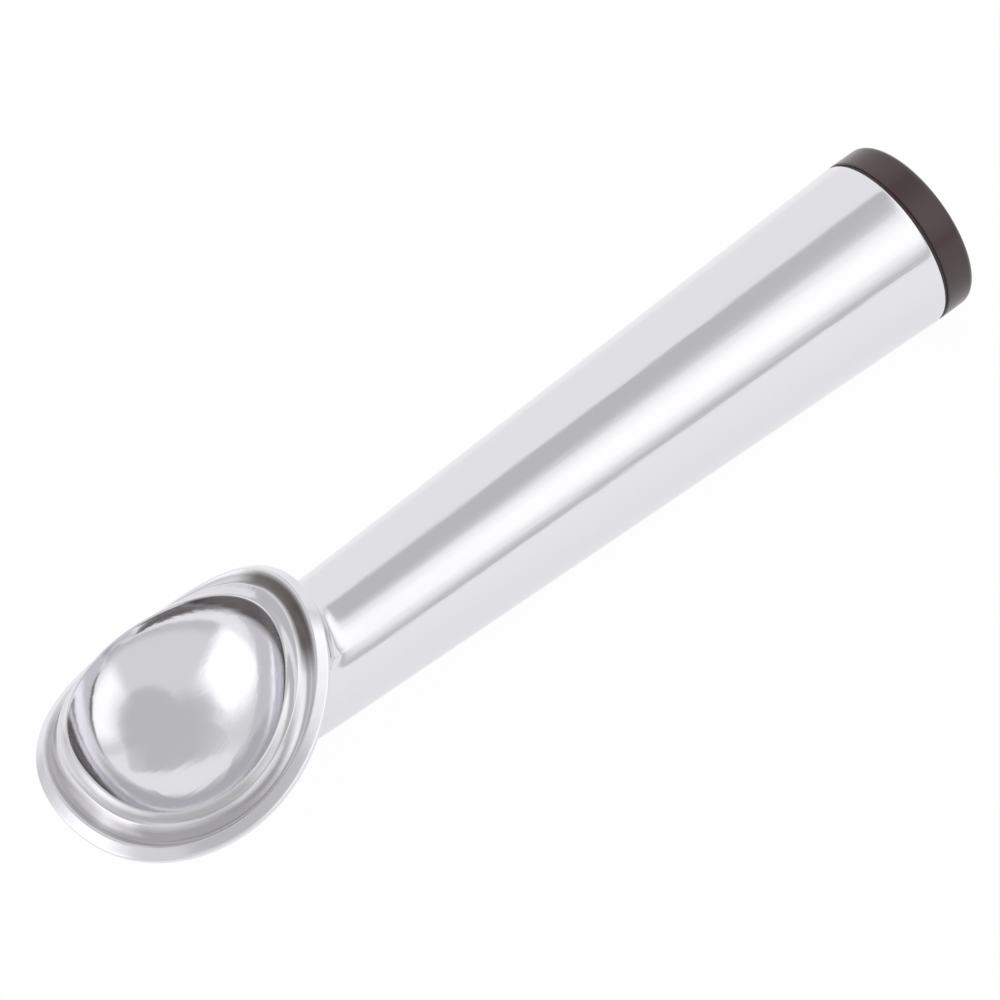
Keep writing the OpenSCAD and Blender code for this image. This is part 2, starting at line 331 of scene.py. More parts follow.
def fill_patch(piece, surface):
    """Closes the picked ring with a grid that lies on the surface."""
    old_count = len(bmesh.from_edit_mesh(piece.data).verts)
    bpy.ops.mesh.fill_grid(span=BOWL_SPOKES // 4)
    shape = bmesh.from_edit_mesh(piece.data)
    shape.verts.ensure_lookup_table()
    ring_mark = shape.verts.layers.int["ring"]
    patch = shape.verts[old_count:]
    for point in patch:
        point[ring_mark] = 0
    settle_patch(patch, surface)
    bmesh.update_edit_mesh(piece.data)


def pick_open_edges(piece):
    bpy.ops.mesh.select_all(action="DESELECT")
    bpy.ops.mesh.select_mode(type="EDGE")
    shape = bmesh.from_edit_mesh(piece.data)
    for edge in shape.edges:
        if edge.is_boundary:
            edge.select = True
    shape.select_flush_mode()
    bmesh.update_edit_mesh(piece.data)


def smooth_and_apply(piece, levels):
    """Ends a piece's modelling: outward faces, subdivision and smooth shading."""
    bpy.ops.mesh.select_all(action="SELECT")
    bpy.ops.mesh.normals_make_consistent(inside=False)
    bpy.ops.object.mode_set(mode="OBJECT")
    pick_piece(piece)
    smooth = piece.modifiers.new("smooth", "SUBSURF")
    smooth.levels = levels
    smooth.render_levels = levels
    bpy.ops.object.modifier_apply(modifier=smooth.name)
    bpy.ops.object.shade_smooth()


def lay_piece(piece):
    """Brings a piece from millimetres round the axis to its place in the row's frame."""
    piece.data.transform(LAY_DOWN @ Matrix.Scale(MM, 4))
    piece.data.update()


# The bowl, as rings from the middle of its inside over the rim to the middle of its back
PATCH_RISE = 0.29
# Painted shade of the rim: its least darkness in the step and in the groove, and how fast it grows
INNER_PAINTED_SHADE = 0.05
OUTER_PAINTED_SHADE = 0.15
HOLLOW_GAIN = 1.5
STRIP_GAIN = 1.6
# Painted shade in the step and the groove: middle and half length as turns round the bowl, and how dark
STEP_SHADE_STRIPS = ((math.radians(245), math.radians(60), 0.42),)
GROOVE_SHADE_STRIPS = (
    (math.radians(-7), math.radians(38), 1.0),
    (math.radians(160), math.radians(46), 0.5),
    (math.radians(242), math.radians(54), 0.52),
)
# Strips of painted shade under the lip: middle and half length as turns round the bowl, and depth down
# its side
LIP_SHADE_STRIPS = (
    (math.radians(-5), math.radians(64), 0.13),
    (math.radians(177), math.radians(48), 0.3),
)
STRIP_SOFT = 0.015
LIP_STRIP_GAIN = 4
SETTLE_ROUNDS = 8
SETTLE_HALVES = 30
INSIDE_RISES = (
    0.36, 0.43, 0.5, 0.56, 0.62, 0.67, 0.71, 0.745, 0.78, 0.81, 0.84, 0.87, 0.9, 0.925, 0.95, 0.975, 1.0,
)
RIM_SHARES = (0.12, 0.2, 0.29, 0.36, 0.4, 0.42, 0.44, 0.48, 0.55, 0.64, 0.74, 0.84, 0.92, 0.97, 1.0)
BAND_OUTS = (0.1, 0.4, 0.9, 1.35, 1.6)
UNDER_SHARES = (0.0, 0.12, 0.3, 0.5, 0.7, 0.88)
BACK_SHARES = (1.0, 0.95, 0.9, 0.85, 0.8, 0.75, 0.7, 0.65, 0.6, 0.55, 0.5, 0.46, 0.42)
BACK_PATCH_SHARES = (0.38, 0.34)


def bowl_sections():
    """The bowl's rings in order, each as a section round the bowl."""
    sections = []
    for rise in INSIDE_RISES:
        sections.append(lambda turn, rise=rise: inside_at(turn, rise))

    def lip_corner(turn):
        return lip_r(turn) + LIP_CORNER_OUT, lip_z(turn) - LIP_CORNER_DOWN
    sections.append(lip_corner)
    for share in RIM_SHARES:
        sections.append(lambda turn, share=share: rim_at(turn, share))
    for out in BAND_OUTS:
        sections.append(lambda turn, out=out: band_at(turn, out))

    def edge_top(turn):
        return edge_r(turn), edge_z(turn) - EDGE_TOP_DOWN

    def edge_middle(turn):
        return edge_r(turn) - EDGE_MIDDLE_IN, edge_z(turn) - EDGE_MIDDLE_DOWN
    sections.append(edge_top)
    sections.append(edge_middle)
    for share in UNDER_SHARES:
        sections.append(lambda turn, share=share: under_at(turn, share))
    for share in BACK_SHARES + BACK_PATCH_SHARES:
        sections.append(lambda turn, share=share: back_at(turn, share * back_end(turn)))
    return sections


# Rings between which the back of the bowl is opened for the neck
UNDER_FIRST = len(INSIDE_RISES) + 1 + len(RIM_SHARES) + len(BAND_OUTS) + 2
NECK_TOP_RING = 2 + UNDER_FIRST
NECK_LOW_RING = NECK_TOP_RING + len(UNDER_SHARES) + len(BACK_SHARES) - 1


def neck_side(spoke):
    """Spokes from the handle's top line to a spoke, with its sign."""
    return spoke if spoke <= BOWL_SPOKES // 2 else spoke - BOWL_SPOKES


def open_neck(piece):
    """Takes the faces out of the bowl's back where the neck joins it."""
    bpy.ops.mesh.select_all(action="DESELECT")
    bpy.ops.mesh.select_mode(type="FACE")
    shape = bmesh.from_edit_mesh(piece.data)
    spoke_mark = shape.verts.layers.int["spoke"]
    ring_mark = shape.verts.layers.int["ring"]
    for face in shape.faces:
        inside_rings = all(NECK_TOP_RING <= p[ring_mark] <= NECK_LOW_RING for p in face.verts)
        inside_spokes = all(abs(neck_side(p[spoke_mark])) <= NECK_SPOKES for p in face.verts)
        face.select = inside_rings and inside_spokes
    bmesh.update_edit_mesh(piece.data)
    bpy.ops.mesh.delete(type="FACE")


def flare_start(roll):
    """Where the flare leaves the handle, at an angle round it from its top line."""
    top_x = BOWL_X + edge_r(0.0) + FLARE_TOP_L
    under_x = BOWL_X + FLARE_UNDER_L
    return mix(top_x, under_x, (1 - math.cos(roll)) / 2)


def handle_point(x, radius, roll):
    return Vector((x, radius * math.sin(roll), radius * math.cos(roll)))


def neck_edge_in_order(shape):
    """The opening's points, in order round the handle from its top line."""
    edge_points = [p for p in shape.verts if p.select]
    top = min(edge_points, key=lambda p: abs(math.atan2(p.co.y, p.co.z)))
    order = [top]
    while len(order) < len(edge_points):
        here = order[-1]
        beside = [edge.other_vert(here) for edge in here.link_edges if edge.is_boundary]
        order.append(max((p for p in beside if p not in order[-2:]), key=lambda p: p.co.y))
    return order


def mark_neck_edge(piece):
    """Marks the opening's points in order round the handle. Gives the place of each, and the way
    that the bowl runs on there."""
    shape = bmesh.from_edit_mesh(piece.data)
    ring_mark = shape.verts.layers.int["ring"]
    spoke_mark = shape.verts.layers.int["spoke"]
    edge_points = neck_edge_in_order(shape)
    run_on = {}
    for point in edge_points:
        turn = spoke_turn(point[spoke_mark])
        side = neck_side(point[spoke_mark])
        way = Vector((0, 0, 0))
        if abs(side) == NECK_SPOKES:
            sign = 1 if side > 0 else -1
            way += Vector((-math.sin(turn), math.cos(turn), 0)) * sign
        if point[ring_mark] == NECK_TOP_RING:
            way += Vector((0, 0, 1))
        if point[ring_mark] == NECK_LOW_RING:
            low_rise = BACK_SHARES[-1] * back_end(turn)
            below = bowl_place(lambda turn: back_at(turn, NECK_RUN_ON * low_rise))(point[spoke_mark])
            way += (below - point.co).normalized()
        run_on[point.index] = way.normalized()
    ends = []
    for number, point in enumerate(edge_points):
        point[spoke_mark] = number
        ends.append((point.co.copy(), run_on[point.index]))
    bmesh.update_edit_mesh(piece.data)
    return ends


def even_roll(spoke, spokes):
    return 2 * math.pi * spoke / spokes


def own_roll(end, even):
    """Roll of a point of the opening, within half a turn of an even one."""
    off = math.atan2(end.y, end.z) - even
    return even + math.remainder(off, 2 * math.pi)


def neck_curve(end, way, roll, share):
    """A point of the neck, on a smooth curve from the bowl's back, share = 0, to the handle."""
    start_x = flare_start(roll)
    start = handle_point(start_x, handle_at(start_x), roll)
    along = handle_point(-1, -HANDLE_TAPER, roll).normalized()
    reach = (end - start).length * NECK_PULL
    bowl_pull = end - way * reach
    handle_pull = start + along * reach
    rest = 1 - share
    return (
        end * rest ** 3
        + bowl_pull * 3 * rest * rest * share
        + handle_pull * 3 * rest * share * share
        + start * share ** 3
    )


def chamber_r(x):
    return handle_at(x) - HANDLE_WALL


# Mouth and hollow of the handle: place along the axis, radius, and whether its corner is sharp
MOUTH_RINGS = (
    (-MOUTH_BEVEL - MOUTH_BEVEL_START, handle_at(-MOUTH_BEVEL - MOUTH_BEVEL_START), False),
    (-MOUTH_BEVEL, handle_at(-MOUTH_BEVEL), False),
    (0.0, HANDLE_R - MOUTH_BEVEL, False),
    (0.0, HANDLE_R - 2 * MOUTH_BEVEL, False),
    (0.0, MOUTH_R, True),
    (-MOUTH_L, MOUTH_R, True),
    (-MOUTH_L, SEAT_R, True),
    (-MOUTH_L - SEAT_L, SEAT_R, True),
    (-MOUTH_L - SEAT_L, chamber_r(-MOUTH_L - SEAT_L), True),
    (HOLLOW_NOSE - HOLLOW_L, chamber_r(HOLLOW_NOSE - HOLLOW_L), True),
    (-HOLLOW_L, chamber_r(HOLLOW_NOSE - HOLLOW_L) - HOLLOW_NOSE_R, True),
)


def along_strip(turn, middle, half_length):
    """How near a turn is to the middle of a strip, from 0 at its ends to 1."""
    along = math.remainder(turn - middle, 2 * math.pi) / half_length
    return max(0.0, 1 - along * along)


def darkest_strip(turn, strips):
    """How much painted shade a hollow of the rim gets at a turn."""
    shades = []
    for middle, half_length, dark in strips:
        shades.append(dark * min(1.0, STRIP_GAIN * along_strip(turn, middle, half_length)))
    return max(shades)


def lip_strip(rise, turn, middle, half_length, depth):
    """How far a point of the inside is within a strip of painted shade under the lip, from 0 to 1."""
    near = along_strip(turn, middle, half_length)
    share = (rise - 1 + depth * near + STRIP_SOFT) / (2 * STRIP_SOFT)
    return min(1.0, max(0.0, share)) * min(1.0, LIP_STRIP_GAIN * near)


def painted_shade_at(ring, turn):
    """How much shade is painted on a point of the bowl, from 0 to 1: under the lip, most
    of all by the handle and at the tip, and in the two hollows of the rim."""
    inside_last = 1 + len(INSIDE_RISES)
    if 1 < ring <= inside_last:
        return max(lip_strip(INSIDE_RISES[ring - 2], turn, *strip) for strip in LIP_SHADE_STRIPS)
    number = ring - inside_last - 2
    if not 0 <= number < len(RIM_SHARES):
        return 0.0
    share = RIM_SHARES[number]
    if share < STEP_SHARE:
        depth = math.sin(math.pi * share / STEP_SHARE)
        return depth * max(INNER_PAINTED_SHADE, darkest_strip(turn, STEP_SHADE_STRIPS))
    depth = min(1.0, HOLLOW_GAIN * math.sin(math.pi * (share - STEP_SHARE) / (1 - STEP_SHARE)))
    return depth * max(OUTER_PAINTED_SHADE, darkest_strip(turn, GROOVE_SHADE_STRIPS))


def mark_painted_shade(piece):
    """Notes on each point how much shade is painted on it."""
    shape = bmesh.from_edit_mesh(piece.data)
    painted_shade_mark = shape.verts.layers.float.new("painted_shade")
    ring_mark = shape.verts.layers.int["ring"]
    spoke_mark = shape.verts.layers.int["spoke"]
    for point in shape.verts:
        point[painted_shade_mark] = painted_shade_at(point[ring_mark], spoke_turn(point[spoke_mark]))
    bmesh.update_edit_mesh(piece.data)


def make_casting():
    """The one-piece casting: bowl, rim, neck and hollow handle as one closed skin."""
    piece = start_ring("polished_casting", BOWL_SPOKES)
    bpy.ops.mesh.select_mode(type="EDGE")
    bpy.ops.mesh.select_all(action="SELECT")
    set_ring(piece, 1, bowl_place(lambda turn: inside_at(turn, PATCH_RISE)))
    fill_patch(piece, inside_at)
    pick_open_edges(piece)
    ring = 1
    for section in bowl_sections():
        ring += 1
        next_ring(piece, ring, bowl_place(section))
    fill_patch(piece, back_at)

    open_neck(piece)
    pick_open_edges(piece)
    edge_ways = mark_neck_edge(piece)
    even = [even_roll(spoke, len(edge_ways)) for spoke in range(len(edge_ways))]
    landing = [mix(own_roll(end, roll), roll, NECK_SPREAD) for (end, _), roll in zip(edge_ways, even)]

    for step in range(1, NECK_RINGS + 1):
        ring += 1
        share = step / NECK_RINGS
        next_ring(piece, ring, lambda spoke: neck_curve(*edge_ways[spoke], landing[spoke], share))
    first_mouth_x = MOUTH_RINGS[0][0]
    for step in range(1, HANDLE_RINGS):
        ring += 1
        share = step / HANDLE_RINGS

        def along_handle(spoke):
            x = mix(flare_start(landing[spoke]), first_mouth_x, share)
            roll = mix(landing[spoke], even[spoke], min(1, share / HANDLE_SPREAD))
            return handle_point(x, handle_at(x), roll)
        next_ring(piece, ring, along_handle)
    for x, radius, sharp in MOUTH_RINGS:
        ring += 1
        next_ring(piece, ring, lambda spoke: handle_point(x, radius, even[spoke]))
        if sharp:
            sharpen_ring(piece)
    bpy.ops.mesh.extrude_edges_move()
    bpy.ops.mesh.merge(type="CENTER")
    # Paints shade on the casting's points under the lip and in the rim's hollows
    mark_painted_shade(piece)
    smooth_and_apply(piece, 1)
    lay_piece(piece)
    return piece


casting = make_casting()
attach(casting, "root")
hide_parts("scoop_casting")


# Moulded cap: place along the axis, radius, and whether its corner is sharp
def cap_rings():
    rings = [
        (-SPIGOT_L, SPIGOT_R - SPIGOT_WALL, True),
        (-SPIGOT_L, SPIGOT_R, True),
        (CAP_SHOULDER_X, SPIGOT_R, True),
        (CAP_SHOULDER_X, HANDLE_R - SEAM_H, True),
        (SEAM_W, HANDLE_R - SEAM_H, True),
        (SEAM_W, HANDLE_R - CAP_EDGE_ROUND, False),
        (SEAM_W + CAP_EDGE_ROUND, HANDLE_R, False),
        (SEAM_W + CAP_EDGE_END, HANDLE_R, False),
        (mix(SEAM_W, CAP_L - CAP_ROUND, 0.5), HANDLE_R, False),
        (CAP_L - CAP_ROUND - CAP_SIDE_END, HANDLE_R, False),
    ]
    for step in range(CAP_ROUND_STEPS + 1):
        angle = math.pi / 2 * step / CAP_ROUND_STEPS
        x = CAP_L - CAP_ROUND + CAP_ROUND * math.sin(angle)
        rings.append((x, HANDLE_R - CAP_ROUND + CAP_ROUND * math.cos(angle), False))
    rings.append((CAP_L, HANDLE_R - CAP_ROUND - CAP_FACE_START, False))
    rings.append((CAP_L, HANDLE_R / 2, False))
    return rings


def make_cap():
    """The dark end cap, from the lip of its spigot over its outside to the middle of its end."""
    piece = start_ring("moulded_end_cap", CAP_SPOKES)
    bpy.ops.mesh.select_mode(type="EDGE")
    bpy.ops.mesh.select_all(action="SELECT")
    bore = SPIGOT_R - SPIGOT_WALL
    rolls = [even_roll(spoke, CAP_SPOKES) for spoke in range(CAP_SPOKES)]
    set_ring(piece, 1, lambda spoke: handle_point(CAP_HOLLOW, bore, rolls[spoke]))
    bpy.ops.mesh.edge_face_add()
    bpy.ops.mesh.inset(thickness=bore / 2)
    bpy.ops.mesh.inset(thickness=bore / 2 - CAP_BORE_MIDDLE_R)
    pick_open_edges(piece)
    sharpen_ring(piece)
    ring = 1
    for x, radius, sharp in cap_rings():
        ring += 1
        next_ring(piece, ring, lambda spoke: handle_point(x, radius, rolls[spoke]))
        if sharp:
            sharpen_ring(piece)
    bpy.ops.mesh.edge_face_add()
    bpy.ops.mesh.inset(thickness=HANDLE_R / 4)
    smooth_and_apply(piece, 1)
    lay_piece(piece)
    return piece


cap = make_cap()
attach(cap, "root")
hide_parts("end_cap")


# Materials: noise sizes are counts in a metre, and a spread is the range that a noise is given
CLEAR_NOISE = (0.3, 0.7)


def new_finish(name):
    finish = bpy.data.materials.new(name)
    finish.use_nodes = True
    nodes = finish.node_tree.nodes
    shader = nodes["Principled BSDF"]
    return finish, nodes, finish.node_tree.links, shader


def noise_on(nodes, links, place, scale, detail, stretch=(1, 1, 1)):
    """A noise over the piece's own Object coordinates, stretched by a Mapping node."""
    mapping = nodes.new("ShaderNodeMapping")
    mapping.inputs["Scale"].default_value = stretch
    links.new(place.outputs["Object"], mapping.inputs["Vector"])
    noise = nodes.new("ShaderNodeTexNoise")
    noise.inputs["Scale"].default_value = scale
    noise.inputs["Detail"].default_value = detail
    links.new(mapping.outputs["Vector"], noise.inputs["Vector"])
    return noise


def spread_to(nodes, links, source, low, high):
    """Maps a noise from 0..1 to the given range."""
    spread = nodes.new("ShaderNodeMapRange")
    spread.inputs["From Min"].default_value = CLEAR_NOISE[0]
    spread.inputs["From Max"].default_value = CLEAR_NOISE[1]
    spread.inputs["To Min"].default_value = low
    spread.inputs["To Max"].default_value = high
    links.new(source, spread.inputs["Value"])
    return spread.outputs["Result"]


def add_math(nodes, links, operation, first, second=None):
    """A Math node over sockets or plain numbers."""
    node = nodes.new("ShaderNodeMath")
    node.operation = operation
    for socket, value in zip(node.inputs, (first, second)):
        if value is None:
            continue
        if isinstance(value, (int, float)):
            socket.default_value = value
        else:
            links.new(value, socket)
    return node.outputs["Value"]


def add_step(nodes, links, value, start, end):
    """A soft step from 0 to 1 as the value goes from start to end."""
    step = nodes.new("ShaderNodeMapRange")
    step.interpolation_type = "SMOOTHSTEP"
    step.inputs["From Min"].default_value = start
    step.inputs["From Max"].default_value = end
    links.new(value, step.inputs["Value"])
    return step.outputs["Result"]


def add_level(nodes, links, share, low, high):
    """A number that goes from low to high with the share."""
    node = nodes.new("ShaderNodeMix")
    links.new(share, node.inputs["Factor"])
    for socket, value in ((node.inputs["A"], low), (node.inputs["B"], high)):
        if isinstance(value, (int, float)):
            socket.default_value = value
        else:
            links.new(value, socket)
    return node.outputs["Result"]


BRIGHT_METAL = (0.828, 0.82, 0.857, 1)
# Painted shade: the dark brown colour, roughness, metallic, specular and patchiness of the shade painted
# under the lip and in the rim's hollows
PAINTED_SHADE_METAL = (0.088, 0.073, 0.067, 1)
PAINTED_SHADE_ROUGHNESS = 0.2
PAINTED_SHADE_METALLIC = 0.45
PAINTED_SHADE_SPECULAR = 0.2
PAINTED_SHADE_PATCHES = (0.85, 1.0)
BRIGHT_ROUGHNESS = (0.09, 0.14)
METAL_CLOUD = 60
BUFFING_LINES = 900
BUFFING_STRETCH = (0.06, 1, 1)
BUFFING_STRENGTH = 0.08
BUFFING_DEPTH = 0.0002


def polished_aluminium():
    """Cast aluminium, buffed bright: a little cloudy, with fine buffing lines along the handle,
    and with painted shade, dark, brownish and duller, in the hollows of the rim and under the lip."""
    finish, nodes, links, shader = new_finish("polished_cast_aluminium")
    place = nodes.new("ShaderNodeTexCoord")
    shader.inputs["Specular IOR Level"].default_value = PAINTED_SHADE_SPECULAR
    cloud = noise_on(nodes, links, place, METAL_CLOUD, 4)
    lines = noise_on(nodes, links, place, BUFFING_LINES, 2, BUFFING_STRETCH)
    # The painted shade under the lip and in the rim's hollows, read from the points' attribute
    painted_shade = nodes.new("ShaderNodeAttribute")
    painted_shade.attribute_name = "painted_shade"
    patchy = spread_to(nodes, links, cloud.outputs["Fac"], *PAINTED_SHADE_PATCHES)
    # dull is the share of painted shade, which darkens the colour and makes the metal rougher and less
    # metallic
    dull = add_math(nodes, links, "MULTIPLY", painted_shade.outputs["Fac"], patchy)
    colour = nodes.new("ShaderNodeMix")
    colour.data_type = "RGBA"
    links.new(dull, colour.inputs["Factor"])
    colour.inputs["A"].default_value = BRIGHT_METAL
    colour.inputs["B"].default_value = PAINTED_SHADE_METAL
    links.new(colour.outputs["Result"], shader.inputs["Base Color"])
    smooth = spread_to(nodes, links, cloud.outputs["Fac"], *BRIGHT_ROUGHNESS)
    links.new(add_level(nodes, links, dull, smooth, PAINTED_SHADE_ROUGHNESS), shader.inputs["Roughness"])
    links.new(add_level(nodes, links, dull, 1.0, PAINTED_SHADE_METALLIC), shader.inputs["Metallic"])
    bump = nodes.new("ShaderNodeBump")
    bump.inputs["Strength"].default_value = BUFFING_STRENGTH
    bump.inputs["Distance"].default_value = BUFFING_DEPTH
    links.new(lines.outputs["Fac"], bump.inputs["Height"])
    links.new(bump.outputs["Normal"], shader.inputs["Normal"])
    return finish


CAP_BROWN = (0.050, 0.030, 0.033, 1)
CAP_PALE_BROWN = (0.070, 0.044, 0.048, 1)
CAP_ROUGHNESS = (0.17, 0.25)
CAP_CLOUD = 120
CAP_GRAIN = 2500
CAP_GRAIN_STRENGTH = 0.1
CAP_GRAIN_DEPTH = 0.0001


def cap_plastic():
    """Brown-black moulded plastic with a fine satin grain."""
    finish, nodes, links, shader = new_finish("brown_black_plastic")
    place = nodes.new("ShaderNodeTexCoord")
    grain = noise_on(nodes, links, place, CAP_GRAIN, 3)
    cloud = noise_on(nodes, links, place, CAP_CLOUD, 3)
    tint = nodes.new("ShaderNodeMix")
    tint.data_type = "RGBA"
    tint.inputs["A"].default_value = CAP_BROWN
    tint.inputs["B"].default_value = CAP_PALE_BROWN
    links.new(cloud.outputs["Fac"], tint.inputs["Factor"])
    links.new(tint.outputs["Result"], shader.inputs["Base Color"])
    satin = spread_to(nodes, links, cloud.outputs["Fac"], *CAP_ROUGHNESS)
    links.new(satin, shader.inputs["Roughness"])
    bump = nodes.new("ShaderNodeBump")
    bump.inputs["Strength"].default_value = CAP_GRAIN_STRENGTH
    bump.inputs["Distance"].default_value = CAP_GRAIN_DEPTH
    links.new(grain.outputs["Fac"], bump.inputs["Height"])
    links.new(bump.outputs["Normal"], shader.inputs["Normal"])
    return finish


TURNED_METAL = (0.62, 0.63, 0.65, 1)
TURNED_MARKS = 700
TURNED_STRETCH = (1, 0.1, 0.1)
TURNED_ROUGHNESS = (0.25, 0.4)


def turned_aluminium():
    """The plug's machined aluminium, with the fine rings that turning leaves."""
    finish, nodes, links, shader = new_finish("turned_aluminium")
    place = nodes.new("ShaderNodeTexCoord")
    shader.inputs["Metallic"].default_value = 1.0
    shader.inputs["Base Color"].default_value = TURNED_METAL
    marks = noise_on(nodes, links, place, TURNED_MARKS, 2, TURNED_STRETCH)
    fine_rings = spread_to(nodes, links, marks.outputs["Fac"], *TURNED_ROUGHNESS)
    links.new(fine_rings, shader.inputs["Roughness"])
    return finish


RUBBER_BLACK = (0.02, 0.02, 0.02, 1)
RUBBER_CLOUD = 400
RUBBER_ROUGHNESS = (0.55, 0.75)


def seal_rubber():
    """The ring's black rubber, matt and a little uneven."""
    finish, nodes, links, shader = new_finish("black_seal_rubber")
    place = nodes.new("ShaderNodeTexCoord")
    shader.inputs["Base Color"].default_value = RUBBER_BLACK
    dull = noise_on(nodes, links, place, RUBBER_CLOUD, 3)
    matt = spread_to(nodes, links, dull.outputs["Fac"], *RUBBER_ROUGHNESS)
    links.new(matt, shader.inputs["Roughness"])
    return finish


LIQUID_GREEN = (0.50, 0.76, 0.58, 1)
LIQUID_PALE_GREEN = (0.56, 0.80, 0.64, 1)
LIQUID_CLOUD = 50
LIQUID_ROUGHNESS = 0.05
LIQUID_CLEARNESS = 0.8
LIQUID_IOR = 1.36


def heat_liquid():
    """The clear, slightly green liquid that carries the hand's warmth."""
    finish, nodes, links, shader = new_finish("heat_liquid")
    place = nodes.new("ShaderNodeTexCoord")
    cloud = noise_on(nodes, links, place, LIQUID_CLOUD, 2)
    tint = nodes.new("ShaderNodeMix")
    tint.data_type = "RGBA"
    tint.inputs["A"].default_value = LIQUID_GREEN
    tint.inputs["B"].default_value = LIQUID_PALE_GREEN
    links.new(cloud.outputs["Fac"], tint.inputs["Factor"])
    links.new(tint.outputs["Result"], shader.inputs["Base Color"])
    shader.inputs["Roughness"].default_value = LIQUID_ROUGHNESS
    shader.inputs["Transmission Weight"].default_value = LIQUID_CLEARNESS
    shader.inputs["IOR"].default_value = LIQUID_IOR
    return finish


def dress(piece, finish):
    piece.data.materials.clear()
    piece.data.materials.append(finish)


dress(casting, polished_aluminium())
dress(cap, cap_plastic())
dress(frame["nodes"]["closure_plug"], turned_aluminium())
dress(frame["nodes"]["plug_seal"], seal_rubber())
dress(frame["nodes"]["heat_fluid"], heat_liquid())
dress(frame["nodes"]["scoop_casting"], casting.data.materials[0])
dress(frame["nodes"]["end_cap"], cap.data.materials[0])


# Camera: where it looks, from which side, how far off, and how far it is rolled
AIM = (-75.5, 17.9, -13.3)
CAMERA_AZIMUTH = math.radians(-22.29)
CAMERA_ELEVATION = math.radians(42.16)
CAMERA_ROLL = math.radians(-20.5)
CAMERA_DISTANCE = 608.3
CAMERA_FIELD = math.radians(16)
CAMERA_NEAR = 0.01
CAMERA_FAR = 20


def make_camera():
    back = Vector((
        math.sin(CAMERA_AZIMUTH) * math.cos(CAMERA_ELEVATION),
        -math.cos(CAMERA_AZIMUTH) * math.cos(CAMERA_ELEVATION),
        math.sin(CAMERA_ELEVATION),
    ))
    level = Vector((math.cos(CAMERA_AZIMUTH), math.sin(CAMERA_AZIMUTH), 0))
    upright = back.cross(level)
    right = level * math.cos(CAMERA_ROLL) + upright * math.sin(CAMERA_ROLL)
    up = back.cross(right)
    turn = Matrix((right, up, back)).transposed().to_4x4()
    spot = Vector(AIM) + back * CAMERA_DISTANCE
    data = bpy.data.cameras.new("camera")
    data.angle = CAMERA_FIELD
    data.clip_start = CAMERA_NEAR
    data.clip_end = CAMERA_FAR
    camera = bpy.data.objects.new("camera", data)
    bpy.context.scene.collection.objects.link(camera)
    camera.matrix_world = LAY_DOWN @ Matrix.Translation(spot * MM) @ turn
    bpy.context.scene.camera = camera


make_camera()


# Stage: a white floor that keeps the shadow, and a studio of a pale sweep behind, a grey room in
# front, two soft boxes, one on each side of the camera, and a grey card over the bowl
FLOOR_SIZE = 6.0
FLOOR_PAINT = (0.93, 0.93, 0.93, 1)
FLOOR_ROUGHNESS = 0.9
FLOOR_WHITE = 0.97
FLOOR_GLINT = 0.75
# Light of the studio: overhead, in front, near the horizon, from the sweep behind, from each box
OVERHEAD_LIGHT = 0.57
FRONT_LIGHT = 0.76
HORIZON_LIGHT = 0.60
SWEEP_LIGHT = 0.90
RIGHT_LIGHT = 1.2
LEFT_LIGHT = 1.4
# Heights in degrees between which the light changes, from the horizon to the front and to overhead
HORIZON_TOP = (3, 14)
FRONT_TOP = (58, 64)
# The sweep starts behind the object, and stops short on its left
SWEEP_EDGE = (0.14, 0.22)
SWEEP_SIDE = (-0.42, -0.22)
# Each soft box: its two sides, its lower and its upper edge in degrees, each as a soft step
RIGHT_BOX = (((-8, 14), (100, 76)), (3, 29), (74, 40))
LEFT_BOX = (((-150, -130), (-95, -109)), (-8, 8), (48, 26))
# Grey card over the bowl, its edges behind and in front from the handle's side to the tip's, how far
# forward it is solid, and how solid it is from side to side
CARD_BEHIND = ((-37, 32, 49), (-49, 35, 54), (-62, 39, 54), (-70, 42, 51), (-76, 43, 46), (-79, 46, 37))
CARD_FRONT = ((-45, 13, 63), (-60, 12, 68), (-80, 6, 68), (-98, 14, 61), (-101, 29, 52), (-90, 44, 40))
CARD_ROWS = ((0.0, 1.0), (0.75, 1.0), (1.0, 0.0))
CARD_SOLID = (0.6, 1.0, 1.0, 1.0, 0.75, 0.0)
WHITE = (1, 1, 1, 1)


def make_floor():
    bpy.ops.object.select_all(action="DESELECT")
    bpy.ops.mesh.primitive_plane_add(size=FLOOR_SIZE, location=(0, 0, 0))
    floor = bpy.context.active_object
    floor.name = "floor"
    paint, nodes, links, shader = new_finish("white_floor")
    shader.inputs["Base Color"].default_value = FLOOR_PAINT
    shader.inputs["Roughness"].default_value = FLOOR_ROUGHNESS
    shader.inputs["Specular IOR Level"].default_value = 0.0
    glow = nodes.new("ShaderNodeEmission")
    glow.inputs["Color"].default_value = WHITE
    path = nodes.new("ShaderNodeLightPath")
    seen = add_math(nodes, links, "MULTIPLY", path.outputs["Is Camera Ray"], FLOOR_WHITE)
    mirrored = add_math(nodes, links, "MAXIMUM", path.outputs["Is Glossy Ray"],
                        path.outputs["Is Transmission Ray"])
    mirrored = add_math(nodes, links, "MULTIPLY", mirrored, FLOOR_GLINT)
    share = add_math(nodes, links, "MAXIMUM", seen, mirrored)
    blend = nodes.new("ShaderNodeMixShader")
    links.new(share, blend.inputs["Fac"])
    links.new(shader.outputs["BSDF"], blend.inputs[1])
    links.new(glow.outputs["Emission"], blend.inputs[2])
    links.new(blend.outputs["Shader"], nodes["Material Output"].inputs["Surface"])
    dress(floor, paint)


